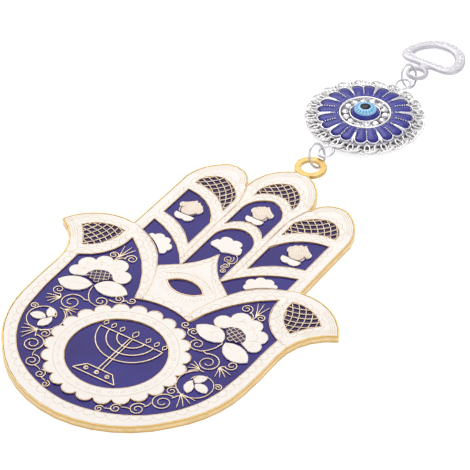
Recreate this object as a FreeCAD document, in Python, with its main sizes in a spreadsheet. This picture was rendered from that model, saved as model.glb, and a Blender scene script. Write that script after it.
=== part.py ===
import FreeCAD, Part
import os
from math import asin, cos, degrees, radians, sin
from FreeCAD import Placement, Rotation, Vector

# A hamsa for hanging, lying face up: a gilt hand with enamel cells, two jump rings,
# a round medallion with an eye bead and a D-shaped hanger.
# Origin: on the hand's back, behind the centre of the palm disc. +Y runs to the
# fingers and the hanger, +Z out of the enamelled face. Millimetres and degrees.

doc = FreeCAD.newDocument("hamsa")
sizes = doc.addObject("Spreadsheet::Sheet", "sizes")

dimensions = {
    # hand: cast plate, its sunk cells and their fillings
    "plate_height": 2.6,
    "rim_width": 0.5,
    "rim_height": 0.3,
    "cell_depth": 0.9,
    "blue_thickness": 0.7,
    "white_thickness": 0.3,
    "cell_wall": 0.35,
    "line_width": 0.3,
    "motif_height": 0.5,
    "facet": 0.14,
    # palm
    "disc_radius": 17.0,
    "scallop_crest": 24.7,
    "scallop_valley": 22.4,
    "scallop_count": 23,
    # gilt wire ornament
    "wire_width": 0.55,
    "wire_height": 0.4,
    "lattice_bar": 0.45,
    "lattice_pitch": 3.3,
    "lattice_height": 0.5,
    # eyelet at the middle finger's tip
    "eyelet_y": 118.9,
    "eyelet_outer": 5.8,
    "eyelet_hole": 3.6,
    "eyelet_underside": 1.35,
    # jump rings
    "jump_radius": 4.3,
    "jump_wire": 0.45,
    "jump_sides": 8,
    "jump_bends": 18,
    "jump_gap": 3.0,
    "jump_lean": -25.0,
    "jump_height": 4.4,
    "lower_ring_x": -0.2,
    "lower_ring_y": 123.4,
    "upper_ring_x": 2.5,
    "upper_ring_y": 182.9,
    # medallion
    "medallion_x": 1.6,
    "medallion_y": 153.2,
    "medallion_z": 2.5,
    "medallion_turn": -2.4,
    "lace_radius": 19.6,
    "lace_loop": 2.8,
    "lace_loop_hole": 1.25,
    "lace_count": 20,
    "lace_thickness": 1.1,
    "petal_count": 10,
    "petal_root": 11.5,
    "petal_tip": 17.0,
    "petal_film": 0.35,
    "boss_radius": 18.0,
    "boss_height": 2.6,
    "bezel_radius": 9.6,
    "bezel_wall": 0.8,
    "bezel_height": 3.7,
    "stone_floor": 2.3,
    "collar_wall": 0.6,
    "cup_floor": 0.8,
    "bead_radius": 5.1,
    "bead_play": 0.2,
    "bead_shoulder": 3.4,
    "iris_seat": 4.9,
    "pupil_seat": 6.0,
    "bead_top": 6.4,
    "pupil_top_radius": 0.8,
    "iris_radius": 3.9,
    "pupil_radius": 2.0,
    "stone_count": 14,
    "stone_radius": 1.4,
    "stone_circle": 7.3,
    "lug_hole": 1.8,
    "lug_outer": 3.0,
    "lug_reach": 25.8,
    "lug_lift": 0.5,
    # hanger
    "hanger_x": 3.1,
    "hanger_eye_y": 187.6,
    "hanger_eye_outer": 4.2,
    "hanger_eye_hole": 2.6,
    "hanger_thickness": 1.9,
    "hanger_z": 3.1,
    "hanger_tilt": -4.5,
}
for row, (alias, value) in enumerate(dimensions.items(), 1):
    sizes.set(f"A{row}", alias)
    sizes.set(f"B{row}", str(value))
    sizes.setAlias(f"B{row}", alias)
doc.recompute()


def size(alias):
    return float(sizes.get(alias))


# Outlines are lists of (start, point on the arc or None, end)

def trace(start, *steps):
    # a step of two numbers is a straight run, one of four an arc through its first point
    segments = []
    here = start
    for step in steps:
        middle = step[:2] if len(step) == 4 else None
        there = step[-2:]
        segments.append((here, middle, there))
        here = there
    return segments


def mirrored(segments):
    def flip(point):
        return point and (-point[0], point[1])
    return [(flip(b), flip(m), flip(a)) for a, m, b in reversed(segments)]


def whole(half):
    return half + mirrored(half)


def moved(segments, dx, dy, scale=1.0):
    def shift(point):
        return point and (point[0] * scale + dx, point[1] * scale + dy)
    return [(shift(a), shift(m), shift(b)) for a, m, b in segments]


def curve(segment):
    start, middle, end = (p and Vector(p[0], p[1], 0) for p in segment)
    if middle is None:
        return Part.LineSegment(start, end)
    return Part.Arc(start, middle, end)


def grown(segments, amount):
    # the outline moved outwards by amount, or inwards where amount is negative
    wire = Part.Wire([curve(segment).toShape() for segment in segments])
    edges = Part.Face(wire).makeOffset2D(amount, 0, False, False, False).OuterWire.OrderedEdges
    result = []
    for edge in edges:
        low, high = edge.ParameterRange
        if edge.Orientation == "Reversed":
            low, high = high, low
        a, m, b = (edge.valueAt(low + (high - low) * t) for t in (0, 0.5, 1))
        bent = "Circle" in edge.Curve.TypeId
        result.append(((a.x, a.y), (m.x, m.y) if bent else None, (b.x, b.y)))
    return result


def faceted(segments):
    # the outline with each arc as chords that stray from it by the facet size at most
    points = [segments[0][0]]
    for segment in segments:
        if segment[1] is None:
            points.append(segment[2])
        else:
            on_arc = curve(segment).toShape().discretize(Deflection=size("facet"))
            points += [(point.x, point.y) for point in on_arc[1:]]
    return trace(*points)


def light(loops):
    return [faceted(loop) for loop in loops]


def circle(x, y, radius):
    return trace((x + radius, y), (x, y + radius, x - radius, y), (x, y - radius, x + radius, y))


def polar(radius, angle):
    return (radius * cos(radians(angle)), radius * sin(radians(angle)))


def arc_band(x, y, radius, start, end, width):
    # a strip of the given width along a circular arc
    outer, inner = radius + width / 2, radius - width / 2
    middle = (start + end) / 2
    outer_points = [polar(outer, a) for a in (start, middle, end)]
    inner_points = [polar(inner, a) for a in (end, middle, start)]
    points = [(x + px, y + py) for px, py in outer_points + inner_points]
    return trace(points[0], points[1] + points[2], points[3], points[4] + points[5], points[0])


def scroll(x, y, radius, start, turns):
    # a strip of wire along a spiral, from its full radius in to a third of it; turns may be negative
    half = size("wire_width") / 2
    count = int(abs(turns) * 9)
    outer, inner = [], []
    for k in range(count + 1):
        reach = radius * (1 - 0.66 * k / count)
        angle = start + 360 * turns * k / count
        for line, shift in ((outer, half), (inner, -half)):
            px, py = polar(reach + shift, angle)
            line.append((x + px, y + py))
    return trace(*outer, *reversed(inner), outer[0])


def strip(*points, width):
    # a thin band along a line of points, ended square
    left, right = [], []
    for k, (x, y) in enumerate(points):
        before, after = points[max(k - 1, 0)], points[min(k + 1, len(points) - 1)]
        dx, dy = after[0] - before[0], after[1] - before[1]
        reach = width / 2 / (dx ** 2 + dy ** 2) ** 0.5
        left.append((x - dy * reach, y + dx * reach))
        right.append((x + dy * reach, y - dx * reach))
    return trace(*left, *reversed(right), left[0])


def taper(x0, y0, x1, y1, width):
    # a thin spike from a wide foot to a point
    length = ((x1 - x0) ** 2 + (y1 - y0) ** 2) ** 0.5
    nx, ny = (y0 - y1) / length * width / 2, (x1 - x0) / length * width / 2
    return trace((x0 - nx, y0 - ny), (x1, y1), (x0 + nx, y0 + ny), (x0 - nx, y0 - ny))


# Document objects

parts = []


def node(item, name):
    item.Label = name
    parts.append(item)
    return item


def place(item, x="0", y="0", z="0"):
    for axis, formula in zip("xyz", (x, y, z)):
        item.setExpression(f"Placement.Base.{axis}", formula)


def sketch(name, loops, z):
    item = doc.addObject("Sketcher::SketchObject", name)
    item.addGeometry([curve(segment) for loop in loops for segment in loop], False)
    place(item, z=z)
    return item


def raised(name, loops, z, height):
    item = doc.addObject("Part::Extrusion", name)
    item.Base = sketch(name + "_outline", loops, z)
    item.DirMode = "Custom"
    item.Dir = Vector(0, 0, 1)
    item.Solid = True
    item.FaceMakerClass = "Part::FaceMakerBullseye"
    item.setExpression("LengthFwd", height)
    return item


def combined(name, kind, base, *tools):
    item = doc.addObject(kind, name)
    if kind == "Part::MultiFuse":
        item.Shapes = [base, *tools]
    else:
        item.Base, item.Tool = base, tools[0]
    return item


def body_sketch(body, name, loops, height):
    item = body.newObject("Sketcher::SketchObject", name)
    support = next(feature for feature in body.Origin.OriginFeatures if feature.Role == "XY_Plane")
    item.AttachmentSupport = (support, [""])
    item.MapMode = "FlatFace"
    item.addGeometry([curve(segment) for loop in loops for segment in loop], False)
    item.setExpression("AttachmentOffset.Base.z", height)
    return item


def body_feature(body, kind, name, loops, length, height="0 mm"):
    item = body.newObject("PartDesign::" + kind, name)
    item.Profile = body_sketch(body, name + "_outline", loops, height)
    item.setExpression("Length", length)
    return item


land = "sizes.plate_height - sizes.rim_height"
blue_floor = land + " - sizes.cell_depth"
blue_top = blue_floor + " + sizes.blue_thickness"
through = "2 * sizes.plate_height"
sides = (("left", mirrored, -1), ("right", list, 1))

# Outlines of the hand, right half from the wrist's end to the middle finger's tip

hand_outline = whole(trace(
    (0, -34), (17.5, -30.1, 34, -17), (41.4, -5.4, 44.6, 8), (45.0, 18, 44.9, 28),
    (47.6, 38.8, 56.4, 46.9), (48.3, 56.0, 34.3, 58.9), (34.1, 86),
    (31.9, 97.2, 24.5, 104.4), (17.3, 103.5, 13.1, 97.5), (10.4, 107, 0, 114.6)))

palm_cell = whole(trace(
    (0, -27.7), (12.75, -25.4, 24.9, -19), (34.6, -7.6, 38.7, 4.5), (39.8, 15, 40.0, 27),
    (40.4, 34.3), (32.8, 40.9, 29.9, 51.6), (18.8, 41.3, 11.0, 25.75),
    (5.6, 27.43, 0, 28.0)))
eye_cell = whole(trace((0, 36.5), (3.7, 37.3, 7, 39.8), (3.8, 42.4, 0, 43.3)))
side_low_cell = trace(
    (14.3, 44.2), (20.8, 52.3, 29.5, 57.2), (29.5, 64.3), (17.3, 58.4, 8.4, 48.8), (14.3, 44.2))
side_high_cell = trace(
    (12.2, 59.5), (19.6, 66.0, 29.0, 69.4), (29.0, 84.6), (19.0, 81.3, 12.2, 72.9), (12.2, 59.5))
side_tip_cell = trace(
    (12.2, 81.2), (19.3, 87.0, 28.9, 89.0), (26.9, 94.3, 22.0, 96.4),
    (16.6, 94.2, 12.2, 88.4), (12.2, 81.2))
thumb_cell = trace(
    (34.4, 53.3), (42, 52.8, 48.6, 48.1), (45.0, 44.0, 42.1, 39.4), (36.3, 44.8, 34.4, 53.3))
middle_low_cell = whole(trace((0, 61), (3.0, 54.8, 7.6, 49.4), (7.6, 68), (5.2, 73.7, 0, 76.0)))
middle_high_cell = whole(trace((0, 80.4), (4.5, 79.0, 7.6, 75.5), (7.6, 86), (5.4, 91.8, 0, 94.8)))
middle_tip_cell = whole(trace((0, 98.6), (4.6, 97.5, 7.8, 94.4), (6.3, 101.8, 0, 106)))


def scallops(count, crest, valley):
    # a round edge of lobes, one of them centred at the top
    pitch = 360 / count
    steps = []
    for k in range(count):
        middle = 90 + pitch * k
        steps.append(polar(crest, middle) + polar(valley, middle + pitch / 2))
    return trace(polar(valley, 90 - pitch / 2), *steps)


scallop_count = int(size("scallop_count"))
ring_outline = scallops(scallop_count, size("scallop_crest"), size("scallop_valley"))
disc_cell = circle(0, 0, size("disc_radius"))
paired_cells = [side_low_cell, side_high_cell, side_tip_cell, thumb_cell]
middle_cells = [middle_low_cell, middle_high_cell, middle_tip_cell]
all_cells = [palm_cell, eye_cell] + middle_cells + paired_cells + [mirrored(cell) for cell in paired_cells]

# Hand casting: plate, lands sunk inside the rim, cells sunk into the lands, eyelet

casting = node(doc.addObject("PartDesign::Body", "hand_casting"), "hand_casting")
body_feature(casting, "Pad", "plate", light([hand_outline]), "sizes.plate_height")
body_feature(casting, "Pocket", "lands", light([grown(hand_outline, -size("rim_width"))]),
             "sizes.rim_height", "sizes.plate_height")
body_feature(casting, "Pocket", "cells", light(all_cells + [ring_outline, disc_cell]),
             "sizes.cell_depth", land)

eyelet_y = size("eyelet_y")
body_feature(casting, "Pad", "eyelet",
             light([circle(0, eyelet_y, size("eyelet_outer")), circle(0, eyelet_y, size("eyelet_hole"))]),
             "sizes.plate_height - sizes.eyelet_underside", "sizes.eyelet_underside")

# Blue and dark enamel on the cells' floors


def enamel(name, loops):
    return node(raised(name, light(loops), blue_floor, "sizes.blue_thickness"), name)


enamel("palm_enamel", [palm_cell, ring_outline])
enamel("disc_enamel", [disc_cell])
enamel("eye_enamel", [eye_cell])
enamel("middle_finger_enamel", [middle_low_cell, middle_high_cell])
enamel("middle_tip_enamel", [middle_tip_cell])
for side, turned, sign in sides:
    enamel(side + "_finger_enamel", [turned(side_low_cell), turned(side_high_cell)])
    enamel(side + "_tip_enamel", [turned(side_tip_cell)])
    enamel(side + "_thumb_enamel", [turned(thumb_cell)])

# White enamel on the lands: one field, parted by thin gilt lines, each panel cut out by its zone

wall = size("cell_wall")
line = size("line_width")
white_loops = [grown(hand_outline, -size("rim_width") - line / 3)] + [grown(cell, wall) for cell in all_cells]
white_field = raised("white_field", light(white_loops), land, "sizes.white_thickness")
parting_lines = [
    strip((10.05, 49.0), (10.05, 88), (13.6, 100), width=line),
    strip((7.1, 49.8), (9.0, 48.3), width=line),
    strip((8.2, 25.8), (9.3, 31.0), (10.7, 35.9), (12.5, 40.4), (14.6, 44.6), width=line),
    strip((29.2, 57.0), (35.0, 59.1), width=line),
    strip((40.0, 34.4), (47.0, 32.9), width=line),
]
eyelet_clearance = circle(0, eyelet_y, size("eyelet_outer") + line / 2)
walls = raised("parting_walls",
               parting_lines + [mirrored(loop) for loop in parting_lines] + light([eyelet_clearance]),
               "0 mm", through)
white_panels = combined("white_panels", "Part::Cut", white_field, walls)

side_zone = trace(
    (10.05, 50.2), (10.05, 88), (13.6, 100), (20, 108), (38, 104), (36, 59.45), (35.0, 59.1),
    (29.3, 57.0), (27, 59), (12, 48), (10.05, 50.2))
thumb_zone = trace(
    (35.0, 59.1), (48, 62), (60, 47), (47.0, 32.9), (40.2, 34.35), (30, 20), (8.2, 25.8),
    (9.3, 31.0), (10.7, 35.9), (12.5, 40.4), (14.5, 44.5), (20, 55), (27, 59), (29.3, 57.0), (35.0, 59.1))
border_zone = whole(trace((0, -36), (50, -36), (50, 30), (47.0, 32.9), (40.2, 34.35), (30, 20), (0, 20)))
panel_zone = whole(trace(
    (0, 22), (8.2, 22), (8.2, 25.8), (9.3, 31.0), (10.7, 35.9), (12.5, 40.4), (14.5, 44.5),
    (12, 47), (8.9, 48.4), (7.2, 49.7), (3.4, 58), (0, 64)))
middle_zone = whole(trace(
    (0, 64), (6.6, 53), (7.2, 49.7), (8.9, 48.4), (10.05, 50.2), (10.05, 88), (13.6, 100), (10, 118), (0, 118)))


def panel(name, zone):
    block = raised(name + "_zone", [zone], "0 mm", through)
    return node(combined(name, "Part::Common", white_panels, block), name)


panel("border_white", border_zone)
panel("eye_panel_white", panel_zone)
panel("middle_finger_white", middle_zone)
for side, turned, sign in sides:
    panel(side + "_finger_white", turned(side_zone))
    panel(side + "_thumb_white", turned(thumb_zone))

ring_white = scallops(scallop_count, size("scallop_crest") - wall, size("scallop_valley") - wall)
ring_loops = [ring_white, circle(0, 0, size("disc_radius") + wall)]
node(raised("ring_white", light(ring_loops), land, "sizes.white_thickness"), "ring_white")

# White motifs that stand in the blue cells

flower_petals = trace(
    (22.5, 29.8), (17.4, 32.3, 21.6, 35.1), (24.2, 39.6, 28.0, 37.9), (31.8, 38.4, 33.3, 35.0),
    (37.4, 33.4, 36.9, 29.6), (38.2, 26.4, 35.2, 24.7), (31.8, 26.3), (28.6, 31.9, 22.5, 29.8))
flower_centre = trace(
    (22.5, 29.8), (28.6, 31.9, 31.8, 26.3), (29.0, 26.0, 26.4, 25.0), (25.0, 27.8, 22.5, 29.8))
outer_leaf = trace((26.9, 23.9), (33.2, 24.6, 38.2, 19.8), (31.2, 17.9, 26.9, 23.9))
inner_leaf = trace(
    (25.9, 23.6), (24.6, 26.9, 21.2, 28.9), (17.3, 28.4, 14.0, 26.1), (20.6, 21.7, 25.9, 23.6))
trefoil = [
    trace((28.3, 3.8), (29.2, 6.1, 31.6, 6.5), (31.2, 3.9, 29.4, 2.3), (28.3, 3.8)),
    trace((29.9, 1.7), (32.8, 3.0, 35.3, 0.3), (32.3, -0.4, 29.9, 1.7)),
    trace((28.2, 2.9), (27.1, 0.0, 29.9, -3.0), (30.6, -0.6, 29.2, 1.6), (28.2, 2.9)),
]
bud = trace(
    (-1.1, 4.1), (-0.3, 3.8), (0.3, 4.7), (1.8, 3.2), (3.5, 1.9), (4.3, 1.5, 4.3, -0.5),
    (3.8, -1.0), (3.0, -0.6), (3.0, -3.0, 1.5, -3.7), (0.8, -4.0), (3.4, -4.0),
    (3.0, -5.9, 0.5, -6.8), (-0.4, -6.4), (-1.7, -6.8), (-3.5, -5.8, -4.0, -4.0), (-1.6, -3.9),
    (-2.7, -2.6, -3.4, -1.4), (-3.8, -1.2), (-4.5, 0.5, -3.5, 2.0), (-3.0, 2.8, -2.2, 3.2),
    (-1.1, 4.1))
side_bud = moved(bud, 22.2, 76.0)
middle_bud = moved(bud, 0, 87.1, 0.93)
side_cloud = trace(
    (26.2, 56.2), (25.6, 57.2, 24.3, 57.2), (22.3, 58.8, 20.6, 57.9), (18.7, 58.0, 17.7, 55.9),
    (15.7, 54.9, 16.2, 52.4), (16.2, 50.8, 17.5, 50.0), (21.2, 53.4, 26.2, 56.2))
middle_cloud = whole(trace(
    (0, 61.9), (2.0, 62.9, 4.2, 63.2), (5.9, 64.3, 5.6, 65.8), (5.1, 66.9, 3.9, 67.2), (3.7, 69.1, 2.2, 69.8),
    (0.9, 69.7, 0, 69.1)))


def motif(name, loops, height="sizes.motif_height"):
    return node(raised(name, light(loops), blue_top, height), name)


motif("middle_bud", [middle_bud])
motif("middle_cloud", [middle_cloud])
for side, turned, sign in sides:
    motif(side + "_flower", [turned(flower_petals)])
    motif(side + "_flower_centre", [turned(flower_centre)], "sizes.wire_height")
    motif(side + "_leaves", [turned(outer_leaf), turned(inner_leaf)])
    motif(side + "_trefoil", [turned(loop) for loop in trefoil])
    motif(side + "_bud", [turned(side_bud)])
    motif(side + "_cloud", [turned(side_cloud)])

# Lattices over the tips and thumbs: two families of slanting bars kept inside the cell


def lattice(name, cell, x, y, count, slope):
    pitch, half = size("lattice_pitch"), size("lattice_bar") / 2
    reach = pitch * (count + 2)
    bars = []
    for direction in (-1, 1):
        along = polar(1, slope + direction * 45)
        across = (-along[1], along[0])
        for k in range(-count, count + 1):
            cx, cy = x + across[0] * pitch * k, y + across[1] * pitch * k
            ends = [(cx + along[0] * e, cy + along[1] * e) for e in (-reach, reach)]
            bars.append(raised(f"{name}_bar", [strip(*ends, width=2 * half)], blue_top, "sizes.lattice_height"))
    grid = combined(name + "_bars", "Part::MultiFuse", *bars)
    inside = raised(name + "_field", light([cell]), "0 mm", through)
    return node(combined(name, "Part::Common", grid, inside), name)


lattice("middle_tip_lattice", middle_tip_cell, 0, 101.0, 2, 0)
for side, turned, sign in sides:
    lattice(side + "_tip_lattice", turned(side_tip_cell), sign * 20.5, 90.0, 2, sign * 20)
    lattice(side + "_thumb_lattice", turned(thumb_cell), sign * 41.0, 47.7, 2, -sign * 30)

# Scrolls and tufts of the palm field: thin strips on the blue enamel

scrolls = [
    scroll(15.1, 22.4, 1.6, 200, -1.1),
    scroll(19.9, 18.8, 2.0, 240, -1.2),
    scroll(27.5, 12.8, 4.1, 130, -1.3),
    scroll(34.8, 15.6, 2.1, 250, 1.1),
    scroll(26.4, -10.8, 3.2, 80, 1.3),
    scroll(21.2, -17.8, 2.3, 80, 1.2),
    scroll(15.4, -21.4, 1.3, 80, 1.1),
]
tufts = [
    ((31.9, 11.0), ((36.7, 10.6), (35.4, 8.8), (33.4, 7.8))),
    ((26.9, 8.3), ((23.5, 9.8), (23.7, 7.6), (24.6, 5.6))),
    ((28.2, -5.2), ((34.4, -5.0), (33.4, -7.8), (31.6, -9.9))),
]
spikes = [taper(*foot, *tip, 0.9) for foot, tips in tufts for tip in tips]
for side, turned, sign in sides:
    strips = [raised(side + "_strip", [turned(loop)], blue_top, "sizes.wire_height")
              for loop in scrolls + spikes]
    node(combined(side + "_scrollwork", "Part::MultiFuse", *strips), side + "_scrollwork")

# Lamp with seven branches on the disc: three nested half rings, cup line, stem and foot

lamp_centre = 9.45
lamp_width = 0.6
lamp_line = 8.5
branches = []
for radius in (12.4, 8.85, 5.3):
    dip = degrees(asin((lamp_centre - lamp_line) / radius))
    branches.append(arc_band(0, lamp_centre, radius, 180 + dip, 360 - dip, lamp_width))
lamp_loops = branches + [
    whole(trace((0, 8.2), (12.7, 8.2), (12.7, 8.8), (0, 8.8))),
    whole(trace((0, -9.2), (0.6, -9.2), (0.6, 8.4), (0, 8.4))),
    whole(trace((0, -9.2), (5.0, -9.2), (8.3, -13.0), (0, -13.0))),
]
lamp_strips = [raised("lamp_strip", [loop], blue_top, "sizes.wire_height") for loop in light(lamp_loops)]
foot_hole = raised("foot_hole", [whole(trace((0, -9.8), (4.6, -9.8), (7.0, -12.4), (0, -12.4)))],
                   "0 mm", through)
lamp_body = combined("lamp_body", "Part::MultiFuse", *lamp_strips)
node(combined("menorah", "Part::Cut", lamp_body, foot_hole), "menorah")
flame = trace((0.8, 0), (0, 1.3), (-0.8, 0), (0, -1.3), (0.8, 0))
motif("flames", [moved(flame, x, 10.5) for x in (-11.7, -8.6, -5.2, 0, 5.2, 8.6, 11.7)], "sizes.wire_height")

# Jump rings: wire bent in short flats round a circle, closed with a butt joint that stays just open


def jump_ring(name, x, y):
    radius, gap, bends = size("jump_radius"), size("jump_gap"), int(size("jump_bends"))
    stations = [polar(radius, gap / 2 + (360 - gap) * k / bends) for k in range(bends + 1)]
    path = sketch(name + "_path", [trace(*stations)], "0 mm")
    section = doc.addObject("Part::RegularPolygon", name + "_section")
    section.setExpression("Polygon", "sizes.jump_sides")
    section.setExpression("Circumradius", "sizes.jump_wire")
    section.Placement = Placement(
        Vector(*stations[0], 0), Rotation(Vector(0, 0, 1), gap / 2).multiply(Rotation(Vector(1, 0, 0), 90)))
    item = doc.addObject("Part::Sweep", name)
    item.Sections = [section]
    item.Spine = (path, [f"Edge{k + 1}" for k in range(bends)])
    item.Solid = True
    item.Transition = "Right corner"
    place(item, x, y, "sizes.jump_height")
    upright = Rotation(Vector(0, 1, 0), 90)
    half_turn = Rotation(Vector(0, 0, 1), 180)
    lean = Rotation(Vector(0, 1, 0), size("jump_lean"))
    item.Placement.Rotation = lean.multiply(upright).multiply(half_turn)
    return node(item, name)


jump_ring("lower_ring", "sizes.lower_ring_x", "sizes.lower_ring_y")
jump_ring("upper_ring", "sizes.upper_ring_x", "sizes.upper_ring_y")

# Medallion casting: lace plate with two lugs, raised boss, bezel round the stones, cup for the bead

mx, my, mz = "sizes.medallion_x", "sizes.medallion_y", "sizes.medallion_z"
lace_count = int(size("lace_count"))
lace_radius, lace_loop = size("lace_radius"), size("lace_loop")
lace_valley = lace_radius + size("lace_loop") / 4
lace_holes = []
for k in range(lace_count):
    hole_x, hole_y = polar(lace_radius, 90 + 360 / lace_count * k)
    corners = [polar(size("lace_loop_hole"), 90 + 360 / lace_count * k + turn) for turn in range(0, 450, 90)]
    lace_holes.append(trace(*[(hole_x + x, hole_y + y) for x, y in corners]))
bezel = size("bezel_radius")
cup = size("bead_radius") + size("bead_play")
channel = [circle(0, 0, bezel - size("bezel_wall")), circle(0, 0, cup + size("collar_wall"))]


def on_medallion(item, height="0"):
    item.Placement.Rotation = Rotation(Vector(0, 0, 1), size("medallion_turn"))
    place(item, mx, my, f"{mz} + {height}")
    return item


medallion = node(doc.addObject("PartDesign::Body", "medallion_casting"), "medallion_casting")
body_feature(medallion, "Pad", "lace",
             light([scallops(lace_count, lace_radius + lace_loop, lace_valley)] + lace_holes),
             "sizes.lace_thickness")
body_feature(medallion, "Pad", "boss", light([circle(0, 0, size("boss_radius"))]), "sizes.boss_height")
body_feature(medallion, "Pad", "bezel", light([circle(0, 0, bezel)]), "sizes.bezel_height")
body_feature(medallion, "Pocket", "stone_channel", light(channel),
             "sizes.bezel_height - sizes.stone_floor", "sizes.bezel_height")
body_feature(medallion, "Pocket", "bead_cup", light([circle(0, 0, cup)]),
             "sizes.bezel_height - sizes.cup_floor", "sizes.bezel_height")


def lug(direction):
    # a flat loop beyond the lace, its sides running in to the plate
    reach = size("lug_reach") * direction
    outer = size("lug_outer")
    foot = lace_radius * direction
    loop = trace((-outer, reach), (0, reach + outer * direction, outer, reach), (2.0, foot), (-2.0, foot),
                 (-outer, reach))
    return [loop, circle(0, reach, size("lug_hole"))]


body_feature(medallion, "Pad", "lugs", light(lug(-1) + lug(1)), "sizes.lace_thickness", "sizes.lug_lift")
on_medallion(medallion)


def petals():
    # pairs of lobes with a notch in each pair, standing out from a root circle
    count = int(size("petal_count"))
    root, tip = size("petal_root"), size("petal_tip")
    steps = []
    for k in range(count):
        middle = 90 + 360 / count * k
        steps += [
            polar(root, middle - 15),
            polar(tip - 1.4, middle - 14.0),
            polar(tip, middle - 7.5) + polar(tip - 1.2, middle),
            polar(tip, middle + 7.5) + polar(tip - 1.4, middle + 14.0),
            polar(root, middle + 15),
            polar(root, middle + 180 / count),
        ]
    return trace(polar(root, 90 - 180 / count), *steps)


petal_loops = light([petals(), circle(0, 0, bezel + size("bead_play"))])
film = raised("medallion_enamel", petal_loops, "0 mm", "sizes.petal_film")
node(on_medallion(film, "sizes.boss_height"), "medallion_enamel")

# Stones: flat-backed brilliants with a girdle and a table, on the channel's floor


def brilliant(x, y):
    girdle = size("stone_radius")
    rings = [[Vector(x, y, height) + Vector(*polar(girdle * share, 45 * j), 0) for j in range(8)]
             for share, height in ((1.0, 0.0), (0.55, 1.1))]
    faces = rings + [[rings[0][j - 1], rings[0][j], rings[1][j], rings[1][j - 1]] for j in range(8)]
    skin = Part.Shell([Part.Face(Part.makePolygon(points + points[:1])) for points in faces])
    return Part.Solid(skin)


stone_count = int(size("stone_count"))
stones = [brilliant(*polar(size("stone_circle"), 360 / stone_count * k)) for k in range(stone_count)]
rhinestones = node(doc.addObject("Part::Feature", "rhinestones"), "rhinestones")
rhinestones.Shape = Part.makeCompound(stones)
on_medallion(rhinestones, "sizes.stone_floor")

# Eye bead: dark glass drop with a paler and a black layer stacked on its crown


def glass_layer(name, low, high, bottom, top):
    item = doc.addObject("Part::Cone", name)
    item.setExpression("Radius1", bottom)
    item.setExpression("Radius2", top)
    item.setExpression("Height", f"{high} - {low}")
    place(item, mx, my, f"{mz} + {low}")
    return item


drop = doc.addObject("Part::Cylinder", "bead_drop")
drop.setExpression("Radius", "sizes.bead_radius")
drop.setExpression("Height", "sizes.bead_shoulder - sizes.cup_floor")
place(drop, mx, my, mz + " + sizes.cup_floor")
crown = glass_layer("bead_crown", "sizes.bead_shoulder", "sizes.iris_seat", "sizes.bead_radius", "sizes.iris_radius")
node(combined("bead_base", "Part::MultiFuse", drop, crown), "bead_base")
node(glass_layer("bead_iris", "sizes.iris_seat", "sizes.pupil_seat", "sizes.iris_radius", "sizes.pupil_radius"),
     "bead_iris")
node(glass_layer("bead_pupil", "sizes.pupil_seat", "sizes.bead_top", "sizes.pupil_radius", "sizes.pupil_top_radius"),
     "bead_pupil")

# Hanger: flat D-shaped loop, neck and eye in one casting

hanger = node(doc.addObject("PartDesign::Body", "hanger"), "hanger")
eye_outer = size("hanger_eye_outer")
neck = 2.3
neck_foot = (eye_outer ** 2 - neck ** 2) ** 0.5
hanger_outline = whole(trace(
    (0, -eye_outer), (eye_outer, 0, neck, neck_foot), (neck, 6.0), (8.2, 6.0),
    (11.5, 7.6, 12.2, 12.0), (8.8, 22.0, 0, 26.0)))
hanger_opening = whole(trace(
    (0, 10.2), (6.6, 10.2), (7.75, 10.8, 7.95, 12.4), (5.8, 18.6, 0, 21.0)))
body_feature(hanger, "Pad", "hanger_plate",
             light([hanger_outline, hanger_opening, circle(0, 0, size("hanger_eye_hole"))]),
             "sizes.hanger_thickness", "-sizes.hanger_thickness / 2")
place(hanger, "sizes.hanger_x", "sizes.hanger_eye_y", "sizes.hanger_z")
hanger.Placement.Rotation = Rotation(Vector(1, 0, 0), size("hanger_tilt"))

doc.recompute()
for item in doc.Objects:
    if "Invalid" in item.State or "Error" in item.State:
        raise RuntimeError(f"{item.Label}: {item.State}")
os.makedirs("parts", exist_ok=True)
for item in parts:
    if item.Shape.isNull() or not item.Shape.isValid():
        raise RuntimeError(f"{item.Label} has no valid shape")
    item.Shape.exportStep(f"parts/{item.Label}.step")
    print(f"{item.Label}: {len(item.Shape.Solids)} solids, {item.Shape.Volume:.1f} mm3")
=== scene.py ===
import bmesh
import bpy
import numpy as np
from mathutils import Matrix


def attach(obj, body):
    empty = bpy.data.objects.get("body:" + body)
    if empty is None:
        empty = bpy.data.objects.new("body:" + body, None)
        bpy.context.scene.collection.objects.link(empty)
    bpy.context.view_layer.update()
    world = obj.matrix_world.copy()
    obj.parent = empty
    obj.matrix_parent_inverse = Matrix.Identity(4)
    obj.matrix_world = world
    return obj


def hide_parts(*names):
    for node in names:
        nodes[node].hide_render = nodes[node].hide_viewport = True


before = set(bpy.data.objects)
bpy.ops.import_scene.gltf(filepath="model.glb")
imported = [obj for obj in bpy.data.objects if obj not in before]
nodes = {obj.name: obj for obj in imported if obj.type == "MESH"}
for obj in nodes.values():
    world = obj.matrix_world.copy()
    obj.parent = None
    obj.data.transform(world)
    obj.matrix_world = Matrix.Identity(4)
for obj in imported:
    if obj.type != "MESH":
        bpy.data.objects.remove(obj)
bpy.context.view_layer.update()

# A hamsa for hanging, lying face up. Shapes are worked out in millimetres, in the frame's own axes,
# and written to the meshes in metres.

mm = 0.001
turn = 2 * np.pi


# Grids and lines

def roundAngles(count):
    return np.linspace(0, turn, count, endpoint=False)


def stacked(*parts):
    # coordinates given one by one, as points
    return np.stack(np.broadcast_arrays(*parts), -1)


def polar(r, a, *z):
    # points at radius r and angle a, flat or at height z
    return stacked(r * np.cos(a), r * np.sin(a), *z)


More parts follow.
